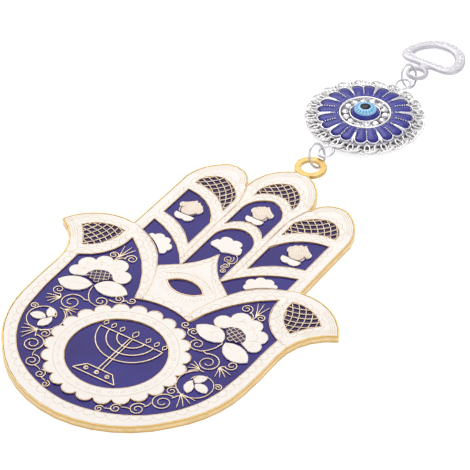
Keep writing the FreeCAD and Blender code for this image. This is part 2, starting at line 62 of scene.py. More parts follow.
def surface(grid, loopRows=False):
    # a grid of points (rows, columns, 3), its columns closed to a ring, as points and four-sided faces
    rows, cols = grid.shape[:2]
    r = np.arange(rows if loopRows else rows - 1)[:, None]
    c = np.arange(cols)[None, :]
    below, right = (r + 1) % rows, (c + 1) % cols
    faces = np.stack([r * cols + c, r * cols + right, below * cols + right, below * cols + c], -1)
    return grid.reshape(-1, 3), faces.reshape(-1, 4)


def lathe(profile, sides):
    # (r, z) turned round the z axis: x = r cos a, y = r sin a
    r, z = np.array(profile, float).T[:, :, None]
    return surface(polar(r, roundAngles(sides), z))


def placed(patch, x=0.0, y=0.0, z=0.0, spin=0.0, tilt=0.0):
    # tilted about x, turned about z, then shifted; angles in degrees
    points, faces = patch
    t, s = np.radians(tilt), np.radians(spin)
    tilting = np.array([[1, 0, 0], [0, np.cos(t), -np.sin(t)], [0, np.sin(t), np.cos(t)]])
    turning = np.array([[np.cos(s), -np.sin(s), 0], [np.sin(s), np.cos(s), 0], [0, 0, 1]])
    return points @ (turning @ tilting).T + (x, y, z), faces


def copies(patch, places):
    # the same small surface set down at every place
    points, faces = patch
    places = np.asarray(places, float).reshape(-1, 3)
    steps = len(points) * np.arange(len(places))[:, None, None]
    return (points[None] + places[:, None]).reshape(-1, 3), (faces[None] + steps).reshape(-1, 4)


def ball(radius, height=None):
    # a round bead: r = R sin t, z = H cos t, t from 0 to pi
    t = np.linspace(0, np.pi, 6)
    return lathe(stacked(radius * np.sin(t), (height or radius) * np.cos(t)), 8)


def flow(points, steps=8, closed=False):
    # Catmull-Rom line through the points
    p = np.array(points, float)
    first, last = (p[-1:], p[:2]) if closed else (2 * p[:1] - p[1:2], 2 * p[-1:] - p[-2:-1])
    around = np.vstack([first, p, last])
    t = np.linspace(0, 1, steps, endpoint=False)[None, :, None]
    a, b, c, d = (around[k:len(around) - 3 + k, None] for k in range(4))
    line = 0.5 * (2 * b + (c - a) * t + (2 * a - 5 * b + 4 * c - d) * t ** 2
                  + (3 * b - a - 3 * c + d) * t ** 3)
    line = line.reshape(-1, p.shape[1])
    return line if closed else np.vstack([line, p[-1:]])


def evenly(loop, spacing):
    # the loop again, with points the same distance apart
    path = np.vstack([loop, loop[:1]])
    along = np.concatenate([[0], np.cumsum(np.linalg.norm(np.diff(path, axis=0), axis=1))])
    count = max(int(round(along[-1] / spacing)), 3)
    want = np.linspace(0, along[-1], count + 1)[:-1]
    return np.stack([np.interp(want, along, column) for column in path.T], -1)


def unit(ways):
    return ways / (np.linalg.norm(ways, axis=1, keepdims=True) + 1e-12)


def headings(line, closed):
    # unit directions along a line
    if not closed:
        return unit(np.gradient(line, axis=0))
    ahead = unit(np.roll(line, -1, 0) - line)
    return unit(ahead + np.roll(ahead, 1, 0))


def beside(line, distance):
    # a flat loop moved to its right, which is outwards where it runs counter-clockwise
    way = headings(line, True)
    ahead = unit(np.roll(line, -1, 0) - line)
    mitre = np.clip((way * ahead).sum(1, keepdims=True), 0.6, 1)
    return line + way[:, ::-1] * (1, -1) * distance / mitre


def gapTo(edge, points):
    # each point's distance from the nearest point of the edge
    return np.sqrt(((points[:, None] - edge[None]) ** 2).sum(-1)).min(1)


def widened(loop, distance):
    # a loop moved outwards, without the points that would fold over at a cusp
    line = beside(loop, distance)
    return line[gapTo(evenly(loop, 0.1), line) > 0.9 * distance]


def atHeight(line, z):
    return np.column_stack([line, np.full(len(line), z)])


def wire(path, width, height=None, sides=8, closed=False, up=(0.0, 0.0, 1.0)):
    # path(u) + across(u) w/2 cos a + above(u) h/2 sin a, with rounded ends where it is open
    path = np.asarray(path, float)
    wide, high = (np.broadcast_to(np.asarray(size, float), len(path))[:, None]
                  for size in (width, width if height is None else height))
    way = headings(path, closed)
    if not closed:
        # two rings past each end: how far out and how thick, in shares of the width
        ends = np.array([[0.5, 0.0], [0.35, 0.7]])
        head = path[0] - way[0] * wide[0] * ends[:, :1]
        tail = path[-1] + way[-1] * wide[-1] * ends[::-1, :1]
        path = np.vstack([head, path, tail])
        way = np.vstack([way[:1], way[:1], way, way[-1:], way[-1:]])
        wide = np.vstack([wide[0] * ends[:, 1:], wide, wide[-1] * ends[::-1, 1:]])
        high = np.vstack([high[0] * ends[:, 1:], high, high[-1] * ends[::-1, 1:]])
    across = unit(np.cross(way, up))
    above = np.cross(across, way)
    a = roundAngles(sides)[None, :, None]
    grid = (path[:, None] + across[:, None] * wide[:, None] / 2 * np.cos(a)
            + above[:, None] * high[:, None] / 2 * np.sin(a))
    return surface(grid, loopRows=closed)


def laid(lines, z, width, height, **more):
    # a wire along each flat line; the dictionaries below give its z, width and height together
    return [wire(atHeight(line, z), width, height, **more) for line in lines]


def mirrored(lines):
    return [line * (-1, 1) for line in lines]


def inside(points, loop):
    # which flat points lie within a closed line, by counting crossings
    x, y = points[:, :1], points[:, 1:2]
    x0, y0 = loop.T
    x1, y1 = np.roll(loop, -1, 0).T
    crosses = (y0 > y) != (y1 > y)
    level = x0 + (y - y0) * (x1 - x0) / np.where(y1 == y0, 1e-9, y1 - y0)
    return (crosses & (x < level)).sum(1) % 2 == 1


def runs(line, keep):
    # the stretches of a line where keep is true
    edges = np.flatnonzero(np.diff(keep.astype(int))) + 1
    parts, flags = np.split(line, edges), np.split(keep, edges)
    return [part for part, flag in zip(parts, flags) if flag[0] and len(part) > 3]


def smoothed(loop):
    # arcs drawn as chords made round again by a cubic along each; corners sharper than 50 degrees stay,
    # and so do straights 1.8 times as long as their neighbours
    longer, cornerCosine, steps = 1.8, 0.64, 5
    chord = np.roll(loop, -1, 0) - loop
    length = np.linalg.norm(chord, axis=1, keepdims=True) + 1e-9
    way = chord / length
    before, lengthBefore = np.roll(way, 1, 0), np.roll(length, 1, 0)
    direction = before * length + way * lengthBefore
    direction = np.where(length > longer * lengthBefore, way, direction)
    direction = np.where(lengthBefore > longer * length, before, direction)
    direction /= np.linalg.norm(direction, axis=1, keepdims=True) + 1e-9
    sharp = (before * way).sum(1, keepdims=True) < cornerCosine
    leaving, arriving = np.where(sharp, way, direction), np.where(sharp, before, direction)
    t = np.linspace(0, 1, steps, endpoint=False)[None, :, None]
    start, end = loop[:, None], np.roll(loop, -1, 0)[:, None]
    first, last = (leaving * length)[:, None], (np.roll(arriving, -1, 0) * length)[:, None]
    line = ((2 * t ** 3 - 3 * t ** 2 + 1) * start + (t ** 3 - 2 * t ** 2 + t) * first
            + (3 * t ** 2 - 2 * t ** 3) * end + (t ** 3 - t ** 2) * last)
    return line.reshape(-1, 2)


def outlines(node):
    # closed lines round a CAD node's top face, outer ones counter-clockwise and holes clockwise
    mesh = nodes[node].data
    mesh.calc_loop_triangles()
    corners = np.empty(len(mesh.vertices) * 3, np.float32)
    mesh.vertices.foreach_get("co", corners)
    index = np.empty(len(mesh.loop_triangles) * 3, np.int32)
    mesh.loop_triangles.foreach_get("vertices", index)
    spots, merged = np.unique(np.round(corners.reshape(-1, 3) / mm, 3), axis=0, return_inverse=True)
    triangles = merged.ravel()[index].reshape(-1, 3)
    flat = triangles[(spots[triangles][:, :, 2] > spots[:, 2].max() - 0.01).all(1)]
    edges = np.concatenate([flat[:, [0, 1]], flat[:, [1, 2]], flat[:, [2, 0]]])
    pairs, first, count = np.unique(np.sort(edges, 1), axis=0, return_index=True, return_counts=True)
    following = dict(edges[first[count == 1]].tolist())
    loops = []
    while following:
        start, here = following.popitem()
        loop = [start]
        while here != start:
            loop.append(here)
            here = following.pop(here)
        loops.append(spots[loop][:, :2])
    return loops


def piece(name, patches, finish, body, standsFor=(), smooth=True):
    # one mesh object of all the patches, merged where they meet, its faces turned outwards
    spots, corners = zip(*patches)
    starts = np.cumsum([0] + [len(part) for part in spots[:-1]])
    points = np.concatenate(spots) * mm
    faces = np.concatenate([part + start for part, start in zip(corners, starts)])
    mesh = bpy.data.meshes.new(name)
    mesh.vertices.add(len(points))
    mesh.vertices.foreach_set("co", points.astype(np.float32).ravel())
    mesh.loops.add(faces.size)
    mesh.loops.foreach_set("vertex_index", faces.astype(np.int32).ravel())
    mesh.polygons.add(len(faces))
    mesh.polygons.foreach_set("loop_start", np.arange(0, faces.size, 4, dtype=np.int32))
    mesh.update(calc_edges=True)
    shell = bmesh.new()
    shell.from_mesh(mesh)
    bmesh.ops.remove_doubles(shell, verts=shell.verts, dist=1e-7)
    bmesh.ops.recalc_face_normals(shell, faces=shell.faces)
    shell.to_mesh(mesh)
    shell.free()
    mesh.polygons.foreach_set("use_smooth", np.full(len(mesh.polygons), smooth))
    mesh.materials.append(finish)
    made = bpy.data.objects.new(name, mesh)
    bpy.context.scene.collection.objects.link(made)
    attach(made, body)
    if standsFor:
        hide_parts(*standsFor)
    print(f"{name}: {len(mesh.polygons)} faces")


# Finishes

def shaderNode(tree, kind, **constants):
    # a node with constants on its sockets, whose names have _ for a space
    made = tree.nodes.new("ShaderNode" + kind)
    for socket, value in constants.items():
        made.inputs[socket.replace("_", " ")].default_value = value
    return made


def colourMix(tree, **colours):
    made = tree.nodes.new("ShaderNodeMix")
    made.data_type = "RGBA"
    for socket, colour in colours.items():
        made.inputs[socket].default_value = (*colour, 1)
    return made


def link(tree, *wires):
    # each from a node's output to another node's input
    for giver, output, taker, socket in wires:
        tree.links.new(giver.outputs[output], taker.inputs[socket])


def finish(name, colour, second, scale, roughness, bump=None, metallic=0.0, specular=0.5, spread=0.06):
    # two tones mixed by cloudy noise, roughness that wanders by the spread, and a fine bump (strength, scale)
    material = bpy.data.materials.new(name)
    material.use_nodes = True
    tree = material.node_tree
    shader = tree.nodes["Principled BSDF"]
    place = shaderNode(tree, "TexCoord")
    cloud = shaderNode(tree, "TexNoise", Scale=scale, Detail=5)
    tones = colourMix(tree, A=colour, B=second)
    sharpen = shaderNode(tree, "MapRange", From_Min=0.35, From_Max=0.68)
    wander = shaderNode(tree, "MapRange", To_Min=roughness - spread / 2, To_Max=roughness + spread / 2)
    link(tree, (place, "Object", cloud, "Vector"), (cloud, "Fac", sharpen, "Value"),
         (cloud, "Fac", wander, "Value"), (sharpen, "Result", tones, "Factor"),
         (tones, "Result", shader, "Base Color"), (wander, "Result", shader, "Roughness"))
    if bump:
        strength, grainScale = bump
        grain = shaderNode(tree, "TexNoise", Scale=grainScale, Detail=4)
        relief = shaderNode(tree, "Bump", Strength=strength, Distance=0.0001)
        link(tree, (place, "Object", grain, "Vector"), (grain, "Fac", relief, "Height"),
             (relief, "Normal", shader, "Normal"))
    shader.inputs["Metallic"].default_value = metallic
    shader.inputs["Specular IOR Level"].default_value = specular
    return material


def paintHeightShade(material, low, high, dark):
    # painted shade: the colour darkens towards the height low, in millimetres, and is its own at the height
    # high
    tree = material.node_tree
    shader = tree.nodes["Principled BSDF"]
    place, split = shaderNode(tree, "TexCoord"), shaderNode(tree, "SeparateXYZ")
    depth = shaderNode(tree, "MapRange", From_Min=low * mm, From_Max=high * mm)
    depth.interpolation_type = "SMOOTHSTEP"
    blend = colourMix(tree, A=dark)
    tree.links.new(shader.inputs["Base Color"].links[0].from_socket, blend.inputs["B"])
    link(tree, (place, "Object", split, "Vector"), (split, "Z", depth, "Value"),
         (depth, "Result", blend, "Factor"), (blend, "Result", shader, "Base Color"))


# specular level of enamel, bump of plating, bump and metallic of gilding
glaze, plated, gilded = 0.09, (0.2, 2600), ((0.25, 2500), 1.0)
gilt = finish("gilt", (0.72, 0.56, 0.32), (0.62, 0.45, 0.22), 350, 0.36, *gilded)
cellGilt = finish("cellGilt", (0.60, 0.44, 0.30), (0.50, 0.36, 0.25), 300, 0.36, metallic=0.85)
eyeletGilt = finish("eyeletGilt", (0.50, 0.34, 0.13), (0.42, 0.27, 0.09), 400, 0.45, *gilded)
paleGilt = finish("paleGilt", (0.66, 0.54, 0.41), (0.50, 0.39, 0.28), 500, 0.34, (0.15, 3000), 1.0)
drawnGilt = finish("drawnGilt", (0.70, 0.57, 0.40), (0.78, 0.67, 0.52), 500, 0.45, metallic=0.2)
whiteEnamel = finish("whiteEnamel", (0.96, 0.905, 0.855), (0.93, 0.865, 0.81), 260, 0.22, (0.12, 700),
                     specular=glaze)
peachEnamel = finish("peachEnamel", (0.95, 0.86, 0.76), (0.88, 0.73, 0.60), 1500, 0.25, (0.3, 2500),
                     specular=glaze)
blueEnamel = finish("blueEnamel", (0.022, 0.008, 0.160), (0.030, 0.020, 0.225), 55, 0.22, (0.15, 420),
                    specular=glaze)
darkEnamel = finish("darkEnamel", (0.040, 0.018, 0.075), (0.026, 0.012, 0.10), 300, 0.25, (0.12, 600),
                    specular=glaze)
# the petals' lighter second tone, in broad cloudy patches, is partly the enamel's own uneven tone and partly
# painted highlight
petalEnamel = finish("petalEnamel", (0.046, 0.044, 0.28), (0.062, 0.064, 0.335), 150, 0.16, (0.12, 900),
                     specular=0.18)
silver = finish("silver", (0.60, 0.59, 0.64), (0.47, 0.46, 0.52), 420, 0.26, plated, 0.9)
ringSilver = finish("ringSilver", (0.57, 0.56, 0.58), (0.45, 0.44, 0.47), 420, 0.3, plated, 0.9)
# painted highlight: the hanger's filigree, of the same silver as its frame, is painted lighter
paintedHighlightSilver = finish("paintedHighlightSilver", (0.86, 0.85, 0.87), (0.70, 0.69, 0.72), 600, 0.24, metallic=0.45)
hangerSilver = finish("hangerSilver", (0.50, 0.48, 0.53), (0.60, 0.58, 0.62), 420, 0.5, (0.3, 2600), 0.5)
laceSilver = finish("laceSilver", (0.80, 0.785, 0.775), (0.66, 0.65, 0.66), 600, 0.26, plated, 0.55)
frameSilver = finish("frameSilver", (0.64, 0.63, 0.64), (0.54, 0.53, 0.55), 600, 0.2, plated, 1.0)
crystal = finish("crystal", (0.80, 0.80, 0.82), (0.45, 0.44, 0.46), 900, 0.05, metallic=0.9, spread=0.02)
cobaltGlass = finish("cobaltGlass", (0.022, 0.018, 0.32), (0.014, 0.012, 0.24), 300, 0.07, specular=0.4,
                     spread=0.02)
paleGlass = finish("paleGlass", (0.22, 0.58, 0.90), (0.34, 0.68, 0.93), 700, 0.08, specular=0.4, spread=0.02)
strokeGlass = finish("strokeGlass", (0.05, 0.22, 0.55), (0.08, 0.30, 0.62), 700, 0.1, spread=0.02)
whiteGlass = finish("whiteGlass", (0.85, 0.92, 0.97), (0.75, 0.88, 0.96), 700, 0.1, spread=0.02)
blackGlass = finish("blackGlass", (0.008, 0.009, 0.012), (0.012, 0.013, 0.02), 300, 0.05, specular=0.12,
                    spread=0.02)
# painted light and shade by height, in millimetres: the plate's edge is painted brightest half way up and
# darker at its foot and top, as light falls on a rolled edge
for material, low, high, dark in ((gilt, 0.0, 1.1, (0.46, 0.29, 0.10)), (gilt, 2.3, 1.5, (0.54, 0.37, 0.15)),
                                  # painted shadow: the raised gilt lines darken to dark brown at their feet
                                  # on the blue
                                  (paleGilt, 2.12, 2.4, (0.13, 0.07, 0.06)),
                                  # painted shade: the petals darken towards their low edges
                                  (petalEnamel, 4.9, 5.8, (0.020, 0.016, 0.19)),
                                  # painted shade: the lace darkens towards its lowest wires and the plate
                                  # under it
                                  (laceSilver, 2.5, 3.8, (0.54, 0.53, 0.57)),
                                  # painted shade: the boss darkens down its outer slope towards its foot
                                  (frameSilver, 4.4, 5.2, (0.34, 0.33, 0.38))):
    paintHeightShade(material, low, high, dark)

enamels = [part + "_enamel" for part in (
    "palm", "disc", "eye", "middle_finger", "left_finger", "right_finger")]
darkEnamels = [part + "_enamel" for part in (
    "middle_tip", "left_tip", "right_tip", "left_thumb", "right_thumb")]
centres = ["left_flower_centre", "right_flower_centre"]
motifs = ["middle_bud", "middle_cloud"]
motifs += [f"{side}_{motif}" for side in ("left", "right")
           for motif in ("flower", "leaves", "trefoil", "bud", "cloud")]
panels = [part + "_white" for part in (
    "border", "eye_panel", "middle_finger", "left_finger", "right_finger", "left_thumb", "right_thumb",
    "ring")]
weldGap, bevelWidth, bevelAngle = 1e-6, 0.00008, 40
for material, members in ((gilt, ["hand_casting"]), (blueEnamel, enamels),
                          (darkEnamel, darkEnamels + centres), (whiteEnamel, panels + motifs)):
    for member in members:
        data = nodes[member].data
        data.materials.clear()
        data.materials.append(material)
        weld = nodes[member].modifiers.new("joined", "WELD")
        weld.merge_threshold = weldGap
        soft = nodes[member].modifiers.new("softEdge", "BEVEL")
        soft.width, soft.segments = bevelWidth, 2
        soft.limit_method = "ANGLE"
        soft.angle_limit = np.radians(bevelAngle)
print("finishes set")

# Gilt work of the hand: rim bead, eyelet, cell rims and lines between the panels


def onHand(name, patches, finish=paleGilt, standsFor=()):
    piece(name, patches, finish, "hand", standsFor)


handWork = {
    # rims lie this far in from the plate's edge and out from a cell's edge
    "rim": (2.56, 0.56, 0.34), "rimIn": 0.285, "cellRim": (2.5, 0.38, 0.36), "cellRimOut": 0.17,
    "parting": (2.5, 0.42, 0.34),
}
partingLines = [flow(points) for points in (
    [(10.05, 51.9), (10.05, 70), (10.05, 88), (13.0, 98.6)],
    [(8.6, 27.6), (9.3, 31.0), (10.7, 35.9), (12.5, 40.4), (13.8, 43.2)],
    [(30.1, 57.3), (34.2, 58.8)], [(41.0, 34.2), (45.6, 33.2)])]
handLoops = [smoothed(loop) for loop in outlines("hand_casting")]
outerLoop = max(handLoops, key=lambda loop: np.ptp(loop[:, 1]) * np.ptp(loop[:, 0]))
rimBead = laid([beside(outerLoop, -handWork["rimIn"])], *handWork["rim"], closed=True)
onHand("handRim", rimBead, gilt)

# the eyelet is a flat ring with rounded corners
eyelet = {"y": 118.9, "inner": 3.56, "outer": 5.8, "foot": 1.31, "head": 2.66, "corner": 0.35}
corner = eyelet["corner"]
innerR, outerR = eyelet["inner"] + corner, eyelet["outer"] - corner
footZ, headZ = eyelet["foot"] + corner, eyelet["head"] - corner
quarter = np.linspace(0, np.pi / 2, 6)
profile = np.concatenate([
    polar(corner, quarter + phase) + (r, z)
    for r, z, phase in ((outerR, footZ, -np.pi / 2), (outerR, headZ, 0), (innerR, headZ, np.pi / 2),
                        (innerR, footZ, np.pi))])
eyeletRing = placed(lathe(np.vstack([profile, profile[:1]]), 96), y=eyelet["y"])
onHand("eyeletRing", [eyeletRing], eyeletGilt)

cellLoops = [smoothed(loop) for node in enamels + darkEnamels for loop in outlines(node)]
cellRims = laid([widened(loop, handWork["cellRimOut"]) for loop in cellLoops], *handWork["cellRim"],
                closed=True)
partings = laid(partingLines + mirrored(partingLines), *handWork["parting"])
onHand("cellRims", cellRims + partings, cellGilt)

# Lines drawn on the white: scallops, lines along the tips, the ring's lozenges, the eye's rays

drawing = {
    "thin": (2.6, 0.2, 0.1), "fine": (2.6, 0.15, 0.1), "ring": (2.6, 0.2, 0.14), "brow": (2.6, 0.2, 0.14),
    "lids": (2.52, 0.7, 0.5),
    # offset from the edge, rise and pitch; the wide ones run along the palm's border
    "scallops": (0.5, 1.5, 3.0), "wideScallops": (0.5, 2.2, 3.7), "scallopGap": 0.4,
    "tipDepths": (1.35, 2.1, 2.85), "tipGap": 1.6, "rimGap": 1.0, "eyeletGap": 6.4,
    "ringRadius": 20.75, "lozengeCircle": 19.1, "lozenges": 30, "dot": (0.17, 0.07), "dotZ": 2.6,
    "lidOut": 0.3, "rayOut": 1.5, "rayPitch": 1.15, "rayLength": 1.9,
}


def scalloped(loop, offset, rise, pitch):
    # scallops beside a loop: along it (1 - cos pi t) / 2 of the pitch, out from it offset + rise sin pi t
    spacing = 0.25
    line = evenly(loop, spacing)
    out = beside(line, 1.0) - line
    count = max(int(round(len(line) * spacing / pitch)), 4)
    t = np.linspace(0, 1, 12, endpoint=False)
    s = (np.arange(count)[:, None] + (1 - np.cos(np.pi * t)) / 2).ravel() * len(line) / count
    index = np.arange(len(line) + 1)
    base, away = (np.stack([np.interp(s, index, np.append(column, column[0])) for column in part.T], -1)
                  for part in (line, out))
    return base + away * (offset + rise * np.tile(np.sin(np.pi * t), count))[:, None]


allEdges = np.vstack([evenly(loop, 0.5) for loop in cellLoops])
innerRim = beside(evenly(outerLoop, 0.5), -drawing["rimGap"])


def clear(line, gap):
    # true where a line lies on the white, this far from every cell's edge and inside the rim
    fromEyelet = np.hypot(line[:, 0], line[:, 1] - eyelet["y"])
    onBlue = np.sum([inside(line, loop) for loop in cellLoops], axis=0) % 2 == 1
    return ((gapTo(allEdges, line) > gap) & ~onBlue & inside(line, innerRim)
            & (fromEyelet > drawing["eyeletGap"]))


# the eye is the narrow cell centred near y = 40; it and the disc's edge carry no scallops
eyeLoop = next(loop for loop in cellLoops if np.ptp(loop[:, 0]) < 16 and abs(loop[:, 1].mean() - 40) < 3)
thinLines = []
for loop in cellLoops:
    if loop is eyeLoop or abs(np.hypot(*loop.T).mean() - 20) < 5:
        continue
    scallops = scalloped(loop, *drawing["wideScallops" if np.ptp(loop[:, 0]) > 60 else "scallops"])
    thinLines += runs(scallops, clear(scallops, drawing["scallopGap"]))
for depth in drawing["tipDepths"]:
    tipLine = beside(evenly(outerLoop, 0.4), -depth)
    x, y = np.abs(tipLine[:, 0]), tipLine[:, 1]
    # the middle finger's tip, the two other fingers' tips and the thumbs' outer sides
    atTips = ((x < 12) & (y > 97)) | ((x > 14) & (x < 33) & (y > 93)) | (x > 45.5) & (y > 40)
    thinLines += runs(tipLine, atTips & clear(tipLine, drawing["tipGap"]))
ringLine = polar(drawing["ringRadius"], roundAngles(180))
lozenge = np.array([(0.9, 0), (0.0, 0.52), (-0.9, 0), (0.0, -0.52)])
lozenges = []
lozengeAngles = roundAngles(drawing["lozenges"])
for angle in lozengeAngles:
    spin = np.array([[-np.sin(angle), np.cos(angle)], [np.cos(angle), np.sin(angle)]])
    lozenges.append(flow(lozenge @ spin + polar(drawing["lozengeCircle"], angle), 2, True))
dotAngles = lozengeAngles + turn / drawing["lozenges"] / 2
ringDots = copies(ball(*drawing["dot"]), polar(drawing["lozengeCircle"], dotAngles, drawing["dotZ"]))
lids = laid([beside(eyeLoop, drawing["lidOut"])], *drawing["lids"], closed=True)
rayFeet = evenly(beside(eyeLoop, drawing["rayOut"]), drawing["rayPitch"])
rayEnds = rayFeet + headings(rayFeet, True)[:, ::-1] * (1, -1) * drawing["rayLength"]
rays = [np.stack([foot, (foot + end) / 2, end]) for foot, end in zip(rayFeet, rayEnds)]
brow = flow([(-9.6, 42.6), (-5, 45.4), (0, 46.6), (5, 45.4), (9.6, 42.6)])
panelEdge = flow([(9.0, 29.2), (10.6, 35.2), (12.0, 39.6), (10.6, 42.6), (6.6, 46.6), (2.4, 52.4), (0, 57.4)])
drawn = laid(thinLines, *drawing["thin"], sides=6)
drawn += laid([ringLine], *drawing["ring"], sides=6, closed=True)
drawn += laid(lozenges, *drawing["fine"], sides=6, closed=True) + [ringDots]
drawn += laid(rays + [panelEdge] + mirrored([panelEdge]), *drawing["fine"], sides=6)
onHand("drawnLines", drawn, drawnGilt)
onHand("eyeLids", lids + laid([brow], *drawing["brow"]), cellGilt)
print("gilt lines of the hand done")

# Scrollwork of the palm field, worked for the right side and mirrored

scrolls = {
    "width": 0.46, "height": 0.46, "z": 2.3, "tipWidths": (0.5, 0.3), "tipHeight": 0.42, "tipZ": 2.27,
    # what is left of the radius at a curl's middle, and the same for curls that tighten late
    "middle": 0.22, "lateMiddle": 0.5, "small": (2.3, 0.36, 0.42),
    # centre x, y, radius, start angle, turns, how late the curl tightens
    "curls": [
        (10.9, 24.3, 1.6, 300, -1.3, 0.85), (15.1, 22.8, 1.8, 200, -1.4, 0.85),
        (19.5, 18.4, 2.8, 292, -1.5, 0.9),
        (27.5, 12.7, 4.5, 130, -1.7, 0.8), (34.8, 15.8, 2.3, 230, 1.4, 0.85), (30.3, 1.9, 6.7, 119, 1.1, 3.0),
        (36.9, 4.6, 1.5, 160, -1.4, 0.85), (25.3, -4.9, 2.2, 10, 1.5, 0.85),
        (25.9, -11.0, 4.3, 72, 1.8, 0.75),
        (21.0, -18.0, 3.0, 70, 1.6, 0.85), (15.0, -21.6, 2.1, 70, 1.5, 0.85),
        (10.6, -24.6, 1.6, 70, 1.4, 0.85),
        (23.4, 42.0, 2.4, 330, 1.5, 0.8), (29.9, 40.6, 1.9, 200, -1.5, 0.85),
    ],
    "stems": [
        [(17.6, 20.5), (16.2, 20.5), (14.6, 20.7), (13.6, 21.4), (13.4, 22.2)],
        [(13.4, 22.3), (12.9, 23.0), (12.3, 23.2), (11.7, 22.9)],
        [(26.2, 23.2), (25.5, 20.2), (24.0, 17.8), (22.3, 16.2), (20.7, 15.9)],
        [(22.9, 16.7), (24.7, 16.0)],
        [(31.9, 12.4), (32.4, 13.6), (33.4, 14.3)],
        [(26.4, 8.6), (27.4, 8.3), (28.9, 8.3)],
        [(27.6, 4.6), (28.0, 3.9), (28.4, 3.3)],
        [(28.0, -4.3), (27.3, -4.5)],
        [(27.3, -7.6), (28.4, -5.6), (29.0, -4.6), (29.2, -4.0)],
        [(23.0, -13.2), (22.9, -14.6), (22.2, -15.9)],
        [(19.0, -19.2), (17.6, -19.4), (16.2, -20.0)],
        [(14.0, -22.6), (12.8, -23.0), (11.7, -23.4)],
        [(27.9, 38.2), (27.2, 40.2), (25.4, 41.4)],
        [(28.0, 38.2), (28.2, 39.8), (28.4, 40.6)],
    ],
    # foot and the tips that spread from it
    "tufts": [
        ((31.9, 12.8), [(36.9, 11.8), (36.0, 10.0), (34.6, 8.9), (33.0, 8.5)]),
        ((26.9, 8.7), [(23.3, 10.9), (23.0, 9.2), (23.3, 7.4), (24.3, 6.0)]),
        ((28.6, -4.6), [(34.2, -4.6), (33.7, -6.7), (32.4, -8.8), (30.9, -10.4)]),
        ((27.9, 40.6), [(25.0, 46.6), (27.0, 47.2), (29.5, 46.6)]),
    ],
}


def scroll(x, y, radius, start, turns, late=0.85, inner=0.24):
    # centre + radius (1 - (1 - inner) t^late) at the angle start + 360 turns t
    t = np.linspace(0, 1, 56)
    reach = radius * (1 - (1 - inner) * t ** late)
    return polar(reach, np.radians(start + 360 * turns * t)) + (x, y)


curls = [scroll(*curl, inner=scrolls["lateMiddle" if curl[5] > 1 else "middle"])
         for curl in scrolls["curls"]]
curls += [flow(stem) for stem in scrolls["stems"]]
spikes = [flow([foot, ((foot[0] + tip[0]) / 2, (foot[1] + tip[1]) / 2 + 0.25), tip])
          for foot, tips in scrolls["tufts"] for tip in tips]
for side, lay in (("right", list), ("left", mirrored)):
    work = [wire(atHeight(line, scrolls["z"]), np.linspace(1, 0.8, len(line)) * scrolls["width"],
                 scrolls["height"]) for line in lay(curls)]
    work += [wire(atHeight(line, scrolls["tipZ"]), np.linspace(*scrolls["tipWidths"], len(line)),
                  scrolls["tipHeight"]) for line in lay(spikes)]
    onHand(side + "Scrollwork", work, standsFor=[side + "_scrollwork"])

# small scrolls in the middle finger's lowest cell
snail = [scroll(3.9, 60.3, 2.0, 60, -1.6), scroll(5.0, 56.9, 1.5, 100, -1.6),
         scroll(5.6, 54.0, 1.15, 100, -1.5),
         flow([(4.9, 63.5), (6.2, 62.4), (6.9, 60.8), (6.6, 59.2), (5.4, 58.4), (4.8, 58.4)]),
         flow([(3.8, 56.2), (4.0, 55.4), (4.7, 55.1), (5.4, 55.2)])]
onHand("middleScrolls", laid(snail, *scrolls["small"]))

# Lamp with seven branches: nested half rings, cup line, doubled stem, framed foot and open flames

lamp = {
    "bar": (2.32, 0.48, 0.46), "ringlet": (2.32, 0.36, 0.4), "flame": (2.32, 0.34, 0.4),
    "y": 9.45, "radii": (12.4, 8.85, 5.3), "cupLine": 8.6, "stemHalf": 0.5,
    "footTop": -9.2, "footBottom": -13.0, "footHalves": (5.0, 8.3),
    "ringletX": (-4.2, 0, 4.2), "ringletY": -11.0, "ringletRadius": 0.95,
    "flameX": (-11.7, -8.6, -5.2, 0, 5.2, 8.6, 11.7), "flameY": 10.75, "middleFlame": 1.35,
}
lampLines = []
for radius in lamp["radii"]:
    dip = np.arcsin((lamp["y"] - lamp["cupLine"]) / radius)
    lampLines.append(polar(radius, np.linspace(np.pi + dip, turn - dip, 48)) + (0, lamp["y"]))
reach, half = lamp["radii"][0], lamp["stemHalf"]
lampLines.append(flow([(x, lamp["cupLine"]) for x in (-reach, 0, reach)]))
lampLines += [flow([(k, lamp["cupLine"]), (k * 1.2, 0), (k * 1.5, lamp["footTop"])]) for k in (-half, half)]
top, bottom = lamp["footHalves"]
foot = evenly(np.array([(-top, lamp["footTop"]), (top, lamp["footTop"]), (bottom, lamp["footBottom"]),
                        (-bottom, lamp["footBottom"])]), 0.4)
ringlets = [scroll(x, lamp["ringletY"], lamp["ringletRadius"], 90, 1.6, inner=0.35)
            for x in lamp["ringletX"]]
lampWork = laid(lampLines, *lamp["bar"]) + laid([foot], *lamp["bar"], closed=True)
lampWork += laid(ringlets, *lamp["ringlet"])
onHand("lampWork", lampWork, standsFor=["menorah"])
flame = np.array([(0.75, 0.1), (0.12, 1.25), (-0.12, 1.25), (-0.75, 0.1), (-0.1, -1.0), (0.1, -1.0)])
flames = []
for x in lamp["flameX"]:
    grown = lamp["middleFlame"] if x == 0 else 1.0
    flames.append(flow(flame * grown + (x, lamp["flameY"] + 0.5 * (grown - 1)), 5, True))
onHand("flameWork", laid(flames, *lamp["flame"], closed=True), standsFor=["flames"])
print("scrolls and lamp done")

# Nets of fine bars over the tips, the thumbs and the flowers' middles

nets = {
    "height": 0.36, "bar": 0.4, "z": 2.38, "pitch": 2.25, "bow": 0.03,
    "flowerBar": 0.28, "flowerZ": 2.4, "flowerPitch": 1.55,
    "angles": {"middle_tip": 45, "right_tip": 40, "left_tip": 50, "right_thumb": 20, "left_thumb": 70},
    "flowerAngles": {"right": 65, "left": 25},
}


